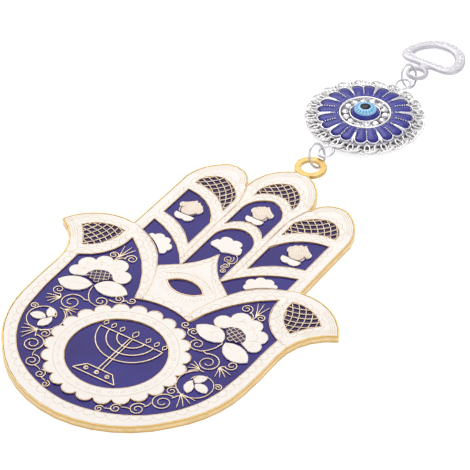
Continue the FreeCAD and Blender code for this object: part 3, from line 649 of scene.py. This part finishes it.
def net(loop, angle, pitch, z, bar, bow):
    # two families of bars, each q(t) = k pitch across + t along + bow t^2, kept inside the loop
    centre = loop.mean(0)
    reach = np.ptp(loop, axis=0).max()
    t = np.linspace(-reach, reach, 160)
    bars = []
    for way in (angle, angle + 90):
        along = polar(1, np.radians(way))
        across = np.array([-along[1], along[0]])
        for k in range(-12, 13):
            line = centre + along * t[:, None] + across * (k * pitch + bow * t ** 2)[:, None]
            bars += runs(line, inside(line, loop))
    return laid(bars, z, bar, nets["height"], sides=6)


for place, angle in nets["angles"].items():
    loop = beside(smoothed(outlines(place + "_enamel")[0]), 0.1)
    work = net(loop, angle, nets["pitch"], nets["z"], nets["bar"], nets["bow"])
    onHand(place + "Net", work, standsFor=[place + "_lattice"])
flowerNets = []
for side, angle in nets["flowerAngles"].items():
    loop = smoothed(outlines(side + "_flower_centre")[0])
    flowerNets += net(loop, angle, nets["flowerPitch"], nets["flowerZ"], nets["flowerBar"], 0.0)
onHand("flowerNets", flowerNets)

# Thin gilt edges round the white motifs, veins on them, and buds with cushions and seeds

trim = {
    "edge": (2.53, 0.17, 0.2), "vein": (2.6, 0.16, 0.1), "cushionEdge": (2.6, 0.22, 0.2),
    "budShadowLine": (2.6, 0.34, 0.16),
    "flower": (28.6, 28.4), "innerPetals": 0.66, "petalGap": 0.45,
    # x, y, size and hand of each bud
    "buds": [(22.2, 76.0, 1.0, 1), (-22.2, 76.0, 1.0, -1), (0.0, 87.1, 0.93, 1)],
    "cushionZ": 2.58, "cushionRise": 0.3, "seed": (0.16, 0.1),
}
edgeWires = laid([smoothed(loop) for member in motifs for loop in outlines(member)], *trim["edge"],
                 sides=6, closed=True)
leafVeins = [flow(points) for points in (
    [(27.6, 23.6), (31.2, 22.0), (35.6, 20.9)], [(15.6, 26.0), (20.0, 25.6), (24.6, 24.0)],
    [(28.8, 4.3), (29.9, 5.0), (31.0, 5.8)], [(30.6, 1.5), (32.4, 1.3), (34.3, 0.7)],
    [(28.7, 2.2), (29.0, 0.2), (29.6, -1.8)], [(24.4, 33.2), (25.4, 35.6), (26.0, 37.4)],
    [(29.4, 32.4), (30.6, 34.4), (31.6, 36.2)], [(33.0, 28.6), (34.6, 29.6), (36.2, 30.2)])]
veinLines = leafVeins + mirrored(leafVeins)
for side, sign in (("right", 1), ("left", -1)):
    petals = smoothed(outlines(side + "_flower")[0])
    middle = np.array(trim["flower"]) * (sign, 1)
    inner = (evenly(petals, 0.3) - middle) * trim["innerPetals"] + middle
    veinLines += runs(inner, inside(inner, petals) & (gapTo(petals, inner) > trim["petalGap"]))
veins = laid(veinLines, *trim["vein"], sides=6)


def cushionZ(ring):
    # height over the bud, this share of the way out: z + rise sqrt(1 - ring^4)
    return trim["cushionZ"] + trim["cushionRise"] * np.sqrt(1 - ring ** 4)


seeds, cushions, cushionEdges = [], [], []
budBody = np.array([
    (-1.1, 4.1), (-0.3, 3.8), (0.3, 4.7), (1.8, 3.2), (3.5, 1.9), (4.2, 1.0), (4.25, -0.5), (3.8, -1.0),
    (3.0, -0.6), (2.7, -1.9), (2.5, -3.0), (1.5, -3.6), (-1.5, -3.6), (-2.2, -3.0), (-3.4, -1.4),
    (-3.8, -1.1), (-4.15, -0.3), (-4.1, 1.0), (-3.5, 2.0), (-2.2, 3.2)]) * 0.93
# painted shadow: a dark line along the gap between each bud's body and its dish
budShadowLine = flow([(3.1, -0.7), (2.85, -2.0), (2.45, -3.1), (1.4, -3.75), (0, -3.9), (-1.4, -3.75),
                (-2.3, -3.0), (-3.4, -1.5)])
budShadowLines = []
rings = np.array([1.0, 0.94, 0.82, 0.6, 0.3, 0.0])
gx, gy = np.meshgrid(np.linspace(-3.2, 3.2, 8), np.linspace(-3.0, 3.4, 8))
seedGrid = stacked(gx + 0.3 * np.sin(3 * gy), gy).reshape(-1, 2)
for x, y, size, hand in trim["buds"]:
    middle = (x, y)
    edge = flow(budBody * size * (hand, 1), 4, True) + middle
    flat = middle + (edge - middle)[None] * rings[:, None, None]
    cushions.append(surface(stacked(flat[..., 0], flat[..., 1], cushionZ(rings)[:, None])))
    cushionEdges.append(edge)
    spots = seedGrid * size + middle
    spots = spots[inside((spots - middle) * 1.15 + middle, edge)]
    ring = np.hypot(*(spots - middle).T) / (4.2 * size)
    seeds.append(copies(ball(*trim["seed"]), np.column_stack([spots, cushionZ(ring)])))
    budShadowLines.append(budShadowLine * (hand * size, size) + middle)
cushionEdges = laid(cushionEdges, *trim["cushionEdge"], sides=6, closed=True)
# the buds' painted shadow lines, in the dark enamel
piece("budShadowLines", laid(budShadowLines, *trim["budShadowLine"]), darkEnamel, "hand")
piece("budCushions", cushions, peachEnamel, "hand")
onHand("motifEdges", edgeWires + veins + seeds + cushionEdges)
print("nets and motif edges done")

# Jump rings: round wire, leaning 25 degrees, with a hairline gap at the top

jumpRings = {"radius": 4.3, "wire": 0.9, "lean": 25.0, "z": 4.4, "gap": 2.4,
             "lower": (-0.2, 123.4), "upper": (2.5, 182.9)}
lean, radius = np.radians(jumpRings["lean"]), jumpRings["radius"]
ringAxis = (np.cos(lean), 0.0, np.sin(lean))
for which in ("lower", "upper"):
    x, y = jumpRings[which]
    a = np.radians(np.linspace(jumpRings["gap"] / 2, 360 - jumpRings["gap"] / 2, 97))
    path = stacked(x - np.sin(lean) * radius * np.cos(a), y - radius * np.sin(a),
                   jumpRings["z"] + np.cos(lean) * radius * np.cos(a))
    ring = wire(path, jumpRings["wire"], sides=16, up=ringAxis)
    piece(which + "JumpRing", [ring], ringSilver, which + "_link", [which + "_ring"])

# Medallion, in its own axes: z from its back, turned and set down by onMedallion

medallion = {
    # x, y, z and turn
    "place": (1.6, 153.2, 2.5, -2.4),
    "bezel": 9.6, "bossEdge": 17.7, "bossTop": 2.95, "bossFall": 0.95, "bossWidth": 8.4,
    "loops": 20, "pairs": 10, "stones": 14, "strokes": 18,
    # wire loops of the lace: half width, middle radius, half length, height, weave, thickness, first angle
    "drop": (3.5, 19.3, 2.55, 1.45, 0.5, 0.8, 90), "leaf": (0.95, 19.7, 1.95, 1.6, 0.25, 0.6, 90),
    "cross": (1.5, 20.3, 1.35, 1.2, 0.2, 0.6, 99),
    # circle, height and size of the grains between them
    "grains": [(18.4, 1.9, 0.55), (20.3, 1.4, 0.5)], "bezelBeads": (9.95, 3.02, 0.27),
    "petal": (9.7, 17.1), "petalRise": 0.8, "lobeHalf": 8.1, "lobeShift": 8.0,
    "collar": (9.75, 12.9), "outline": (0.56, 0.84), "creaseDot": 0.36,
    "stoneCircle": 7.3, "stoneRadius": 1.42, "stoneZ": 2.42,
}


def onMedallion(name, patches, finish, standsFor=(), smooth=True):
    patches = [placed(patch, *medallion["place"]) for patch in patches]
    piece(name, patches, finish, "medallion", standsFor, smooth)


def rosette(path, count, start=90.0):
    # one line repeated at even turns about the centre
    angles = np.radians(start - 90 + np.arange(count) * 360 / count)
    c, s = np.cos(angles)[:, None], np.sin(angles)[:, None]
    x, y, z = path.T[:, None]
    return stacked(c * x - s * y, s * x + c * y, z)


def domeZ(r):
    # the boss: flat at the bezel, falling as the square of the way out to its edge
    out = np.clip((r - medallion["bezel"]) / medallion["bossWidth"], 0, 1.05)
    return medallion["bossTop"] - medallion["bossFall"] * out ** 2


bossR = np.linspace(medallion["bezel"], medallion["bossEdge"], 14)[::-1]
boss = np.concatenate([
    [(0, 0.35), (16.6, 0.35), (17.6, 0.6), (18.0, 1.2), (17.95, 1.75)],
    stacked(bossR, domeZ(bossR)),
    # bezel, channel of the stones, cup of the bead
    [(9.62, 3.3), (9.5, 3.62), (9.25, 3.74), (8.98, 3.66), (8.82, 3.4), (8.78, 2.35), (8.7, 2.3),
     (5.9, 2.3), (5.82, 2.4), (5.8, 3.3), (5.68, 3.62), (5.5, 3.68), (5.32, 3.6), (5.22, 3.3), (5.2, 0.85),
     (5.1, 0.8), (0, 0.8)],
])
onMedallion("medallionFrame", [lathe(boss, 120)], frameSilver, ["medallion_casting"])


def lugLoop(sign):
    # a drop-shaped eye of wire: its point runs in under the lace
    half = np.array([(0.7, 21.3), (1.7, 22.6), (2.35, 24.2), (2.4, 26.2), (1.25, 27.9), (0, 28.3)])
    return flow(atHeight(np.vstack([half, half[-2::-1] * (-1, 1)]) * (1, sign), 1.05), 6, True)


lugs = [wire(lugLoop(sign), 1.0, 1.0, sides=12, closed=True) for sign in (-1, 1)]
onMedallion("medallionLugs", lugs, silver)

lace = []
u = roundAngles(48)
for name in ("drop", "leaf", "cross"):
    # x = half sin u, y = middle - length cos u; drops are pear-shaped and weave up and down as they cross
    half, middle, length, z, weave, thickness, start = medallion[name]
    pear = 1 - 0.2 * np.cos(u) if name == "drop" else 1
    wave = np.cos(u) if name == "leaf" else np.sin(2 * u)
    shape = stacked(half * np.sin(u) * pear, middle - length * np.cos(u), z + weave * wave)
    lace += [wire(line, thickness, sides=10, closed=True)
             for line in rosette(shape, medallion["loops"], start)]
a = np.radians(99 + np.arange(medallion["loops"]) * 360 / medallion["loops"])
lace += [copies(ball(size), polar(radius, a, z)) for radius, z, size in medallion["grains"]]
under = lathe([(16.5, 0.25), (20.9, 0.2), (20.9, 0.5), (16.5, 0.8), (16.5, 0.25)], 80)
onMedallion("laceWork", lace + [under], laceSilver)


def lobe(angle):
    # s runs out from the root, t across; half width closes round at the tip, height is a dome over both
    s, t = np.meshgrid(np.linspace(0, 1, 22), np.linspace(-1, 1, 13), indexing="ij")
    taper = np.sqrt(np.clip(1 - (np.clip(s - 0.72, 0, 1) / 0.28) ** 2, 0, 1))
    half = np.radians(medallion["lobeHalf"]) * (1.1 - 0.22 * np.clip(s / 0.3, 0, 1) + 0.12 * s) * taper
    root, tip = medallion["petal"]
    r = root + (tip - root) * s
    rise = medallion["petalRise"] * np.sqrt(np.clip(1 - t ** 2, 0, 1)) * taper * (0.55 + 0.45 * s)
    top = polar(r, np.radians(angle) + half * t, domeZ(r) + 0.05 + rise)
    floor = top.copy()
    floor[..., 2] = domeZ(r) - 0.3
    return surface(np.concatenate([top, floor[:, ::-1][:, 1:-1]], 1))


pairAngles = 90 + np.arange(medallion["pairs"]) * 360 / medallion["pairs"]
lobes = [lobe(angle + side * medallion["lobeShift"]) for angle in pairAngles for side in (-1, 1)]
# collar at the petals' roots: the boss raised by 0.42 sin(pi s)
collarIn, collarOut = medallion["collar"]
collarR = np.linspace(collarIn, collarOut, 8)
collarZ = domeZ(collarR) + 0.42 * np.sin(np.pi * np.clip((collarR - 9.2) / 3.75, 0, 1))
collar = lathe([*zip(collarR, collarZ), (collarOut, 2.6), (collarIn, 2.7),
                (collarIn, domeZ(collarIn) + 0.2)], 120)
onMedallion("petalLobes", lobes + [collar], petalEnamel, ["medallion_enamel"])

# silver outline of a pair as (angle, radius): up one side to the notch, and mirrored
side = [(-17.2, 12.6), (-16.7, 13.8), (-16.4, 15.2), (-15.0, 16.7), (-11.6, 17.5), (-8.0, 17.65),
        (-4.4, 17.4), (-1.4, 16.7), (0, 16.0)]
pairA, pairR = np.array(side + [(-a, r) for a, r in side[-2::-1]]).T
pairLine = flow(polar(pairR, np.radians(90 + pairA), domeZ(pairR) + 0.36), 6)
outlineWires = [wire(line, *medallion["outline"]) for line in rosette(pairLine, medallion["pairs"])]


def spoke(start, end, count, lift):
    # points on the boss straight up from the centre, and their radii
    r = np.linspace(start, end, count)
    return stacked(0.0, r, domeZ(r) + lift), r


# ridge between two pairs: half a drop that widens and rises outwards
ridgeLine, r = spoke(10.9, 17.2, 16, 0.3)
ridgeWidth = 0.3 + 1.0 * ((r - 10.9) / 6.3) ** 1.2
outlineWires += [wire(line, ridgeWidth, 0.7 + 0.4 * ridgeWidth)
                 for line in rosette(ridgeLine, medallion["pairs"], 108)]
creases = rosette(spoke(11.6, 15.2, 5, 0.5)[0], medallion["pairs"])
beadCircle, beadZ, beadSize = medallion["bezelBeads"]
beads = polar(beadCircle, roundAngles(120), beadZ)
for size, spots in ((medallion["creaseDot"], creases), (beadSize, beads)):
    outlineWires.append(copies(ball(size), spots))
onMedallion("petalOutlines", outlineWires, silver)

# Cut stones in the channel, each turned and tipped a little differently


def cutStone(radius, spin):
    # rings (radius, height, turn) of eight corners up to the table, some turned by half a step
    rows = np.array([(0.0, 0.0, 0), (0.82, 0.0, 0), (1.0, 0.42, 0.5), (0.82, 0.85, 0), (0.5, 1.15, 0.5),
                     (0.0, 1.2, 0)])
    a = (np.arange(8)[None] + rows[:, 2:]) * turn / 8 + spin
    return surface(polar(rows[:, :1] * radius, a, rows[:, 1:2]))


stones = []
for k in range(medallion["stones"]):
    x, y = polar(medallion["stoneCircle"], turn * k / medallion["stones"])
    stone = placed(cutStone(medallion["stoneRadius"], k * 2.4), tilt=7 * np.sin(k * 2.1))
    stones.append(placed(stone, x, y, medallion["stoneZ"]))
onMedallion("cutStones", stones, crystal, ["rhinestones"], smooth=False)

# Eye bead: cobalt drop, pale layer with white flecks round it, black pupil


def crown(low, high, wide, narrow):
    # quarter of a rounded shoulder from (wide, low) to (narrow, high)
    t = np.linspace(0, np.pi / 2, 12)
    return stacked(narrow + (wide - narrow) * np.cos(t) ** 0.8, low + (high - low) * np.sin(t))


def beadLayer(name, foot, shoulder, top, sides, glass, node):
    onMedallion(name, [lathe([*foot, *crown(*shoulder), (0, top)], sides)], glass, [node])


beadLayer("beadDrop", [(0, 0.82), (4.9, 0.82), (5.1, 1.1), (5.12, 2.6)], (2.9, 4.95, 5.12, 3.3), 5.0, 64,
          cobaltGlass, "bead_base")
beadLayer("beadIris", [(0, 4.5), (3.8, 4.42), (4.05, 4.55)], (4.6, 6.1, 4.1, 1.6), 6.15, 64, paleGlass,
          "bead_iris")
# short radial strokes on the iris, and white flecks between their outer ends
marks, flecks = [], []
strokeR = np.linspace(2.7, 3.5, 5)
strokeZ = 4.6 + 1.5 * np.sqrt(np.clip(1 - ((strokeR - 1.6) / 2.5) ** 2.5, 0, 1)) + 0.02
for k in range(medallion["strokes"]):
    a = turn * (k + 0.5) / medallion["strokes"]
    marks.append(wire(polar(strokeR, a, strokeZ), 0.34, 0.16, sides=6))
    flecks.append(placed(placed(ball(0.3, 0.18), 3.45, 0, 5.55), spin=np.degrees(a) + 10))
onMedallion("irisStrokes", marks, strokeGlass)
onMedallion("irisFlecks", flecks, whiteGlass)
beadLayer("beadPupil", [(0, 5.7), (2.05, 5.72)], (5.85, 6.36, 2.12, 0.3), 6.38, 48, blackGlass,
          "bead_pupil")
print("medallion done")

# Hanger: a rounded D of flattened section, a waisted neck and a thin eye, tilted on the ring

hanger = {
    # x, y, z, turn and tilt
    "place": (3.1, 187.6, 3.1, 0.0, -4.5), "height": 1.9, "middle": (0.0, 14.8),
    "eye": (0.0, 1.55, 1.75), "rib": (0.78, 0.42, 0.36), "wave": (0.92, 0.34, 0.26),
    "neckHeight": 1.76, "eyeRadius": 3.4, "ribShares": (0.22, 0.78), "waves": 26,
    "pearl": (0.42, 0.3), "pearlPitch": 2.2, "pearlZ": 0.95,
}


def onHanger(name, patches, finish, standsFor=()):
    patches = [placed(patch, *hanger["place"]) for patch in patches]
    piece(name, patches, finish, "hanger", standsFor)


def mirrorLoop(points):
    # right half from the bottom up, closed by its mirror image
    return flow(points + [(-x, y) for x, y in points[-2:0:-1]], 10, True)


outerD = mirrorLoop([(0, 6.0), (4.4, 6.0), (8.0, 6.05), (10.6, 7.3), (11.9, 9.8), (12.15, 12.6), (11.3, 16.4),
                     (9.0, 20.8), (5.6, 24.2), (2.6, 25.7), (0, 26.0)])
innerD = mirrorLoop([(0, 10.2), (3.4, 10.2), (6.4, 10.25), (7.6, 11.0), (7.95, 12.6), (7.5, 14.8),
                     (6.2, 17.6), (4.0, 19.9), (2.0, 20.8), (0, 21.0)])


def polarRadius(loop, angles):
    # distance of the loop from the D's middle at each angle
    x, y = (loop - hanger["middle"]).T
    around = np.arctan2(y, x)
    order = np.argsort(around)
    return np.interp(angles, around[order], np.hypot(x, y)[order], period=turn)


a = roundAngles(160)
outR, inR = polarRadius(outerD, a), polarRadius(innerD, a)


def roundD(share):
    # a line round the D, this share of the way from its inner to its outer edge
    return polar(1, a) * (inR + (outR - inR) * share)[:, None] + hanger["middle"]


# section: |cos b|^0.8 across and |sin b|^0.8 up, which is a flattened oval
b = roundAngles(20)
acrossShare, upShare = (np.sign(f) * np.abs(f) ** 0.8 for f in (np.cos(b), np.sin(b)))
reach = ((outR + inR) / 2)[:, None] + ((outR - inR) / 2)[:, None] * acrossShare
frameD = polar(reach, a[:, None], upShare * hanger["height"] / 2) + (*hanger["middle"], 0)
# neck: half width 2.0 at the waist, wider towards the eye and, more, towards the D
neckY = np.linspace(3.2, 8.0, 14)[:, None]
neckHalf = 2.0 + 1.3 * np.clip((4.4 - neckY) / 1.2, 0, 1) ** 2 + 2.6 * np.clip((neckY - 5.0) / 3.0, 0, 1) ** 2
neck = stacked(neckHalf * acrossShare, neckY, upShare * hanger["neckHeight"] / 2)
neck = np.concatenate([neck[:1] * (0, 1, 0), neck, neck[-1:] * (0, 1, 0)])
eyeRing = laid([polar(hanger["eyeRadius"], a)], *hanger["eye"], sides=14, closed=True)
onHanger("hangerFrame", [surface(frameD, loopRows=True), surface(neck), *eyeRing], hangerSilver, ["hanger"])
ribs = laid([roundD(share) for share in hanger["ribShares"]], *hanger["rib"], closed=True)
ribs += laid([roundD(0.5 + 0.2 * np.sin(hanger["waves"] * a))], *hanger["wave"], closed=True)
pearls = evenly(roundD(0.5), hanger["pearlPitch"])
ribs.append(copies(ball(*hanger["pearl"]), atHeight(pearls, hanger["pearlZ"])))
# the filigree takes the silver that is painted lighter as a highlight
onHanger("hangerFiligree", ribs, paintedHighlightSilver)
print("hanger done")

# Floor, world, lamps and camera

stage = {"floorHalf": 3, "floorZ": -0.0002, "floorColour": 0.92, "floorGlow": 0.6, "worldLight": 0.6,
         "keyPower": 2.9, "fillPower": 1.1, "aim": (0.0, 0.08, 0.0)}
floorMesh = bpy.data.meshes.new("floor")
half, z = stage["floorHalf"], stage["floorZ"]
floorMesh.from_pydata([(-half, -half, z), (half, -half, z), (half, half, z), (-half, half, z)], [],
                      [(0, 1, 2, 3)])
floor = bpy.data.objects.new("floor", floorMesh)
bpy.context.scene.collection.objects.link(floor)
floorFinish = bpy.data.materials.new("floorFinish")
floorFinish.use_nodes = True
floorTree = floorFinish.node_tree
floorTree.nodes.remove(floorTree.nodes["Principled BSDF"])


def seenDirectly(tree):
    # 1 for rays from the camera and for those that metal and glass send on
    path = shaderNode(tree, "LightPath")
    total = path.outputs["Is Camera Ray"]
    for ray in ("Is Glossy Ray", "Is Transmission Ray"):
        add = shaderNode(tree, "Math")
        add.operation, add.use_clamp = "ADD", True
        tree.links.new(total, add.inputs[0])
        tree.links.new(path.outputs[ray], add.inputs[1])
        total = add.outputs[0]
    return total


matt = shaderNode(floorTree, "BsdfDiffuse", Color=(*[stage["floorColour"]] * 3, 1))
glow, both = shaderNode(floorTree, "Emission"), shaderNode(floorTree, "AddShader")
strength = shaderNode(floorTree, "Math")
strength.operation = "MULTIPLY"
strength.inputs[1].default_value = stage["floorGlow"]
floorTree.links.new(seenDirectly(floorTree), strength.inputs[0])
link(floorTree, (strength, 0, glow, "Strength"), (matt, 0, both, 0), (glow, 0, both, 1),
     (both, 0, floorTree.nodes["Material Output"], "Surface"))
floorMesh.materials.append(floorFinish)

world = bpy.data.worlds.new("studio")
bpy.context.scene.world = world
world.use_nodes = True
sky = world.node_tree
backdrop = sky.nodes["Background"]
backdrop.inputs["Color"].default_value = (1, 1, 1, 1)
level = shaderNode(sky, "MapRange", To_Min=stage["worldLight"], To_Max=1.0)
sky.links.new(seenDirectly(sky), level.inputs["Value"])
link(sky, (level, "Result", backdrop, "Strength"))


def lampAt(name, power, size, place):
    data = bpy.data.lights.new(name, "AREA")
    data.energy, data.size = power, size
    made = bpy.data.objects.new(name, data)
    made.location = place
    away = np.array(place) - stage["aim"]
    length = np.linalg.norm(away)
    made.rotation_euler = (np.arccos(away[2] / length), 0, np.arctan2(away[1], away[0]) + np.pi / 2)
    bpy.context.scene.collection.objects.link(made)


lampAt("keyLamp", stage["keyPower"], 0.5, (-0.35, 0.45, 0.6))
lampAt("fillLamp", stage["fillPower"], 0.6, (0.6, -0.1, 0.5))

camera = bpy.data.objects.new("camera", bpy.data.cameras.new("camera"))
camera.location = (0.39690, -0.52957, 0.59308)
camera.rotation_euler = np.radians((50.702, 0, 33.493))
camera.data.lens = 207.68
camera.data.sensor_width = 36
camera.data.clip_start, camera.data.clip_end = 0.01, 10
bpy.context.scene.collection.objects.link(camera)
bpy.context.scene.camera = camera
bpy.context.scene.view_settings.view_transform = "Standard"

print("scene ready")
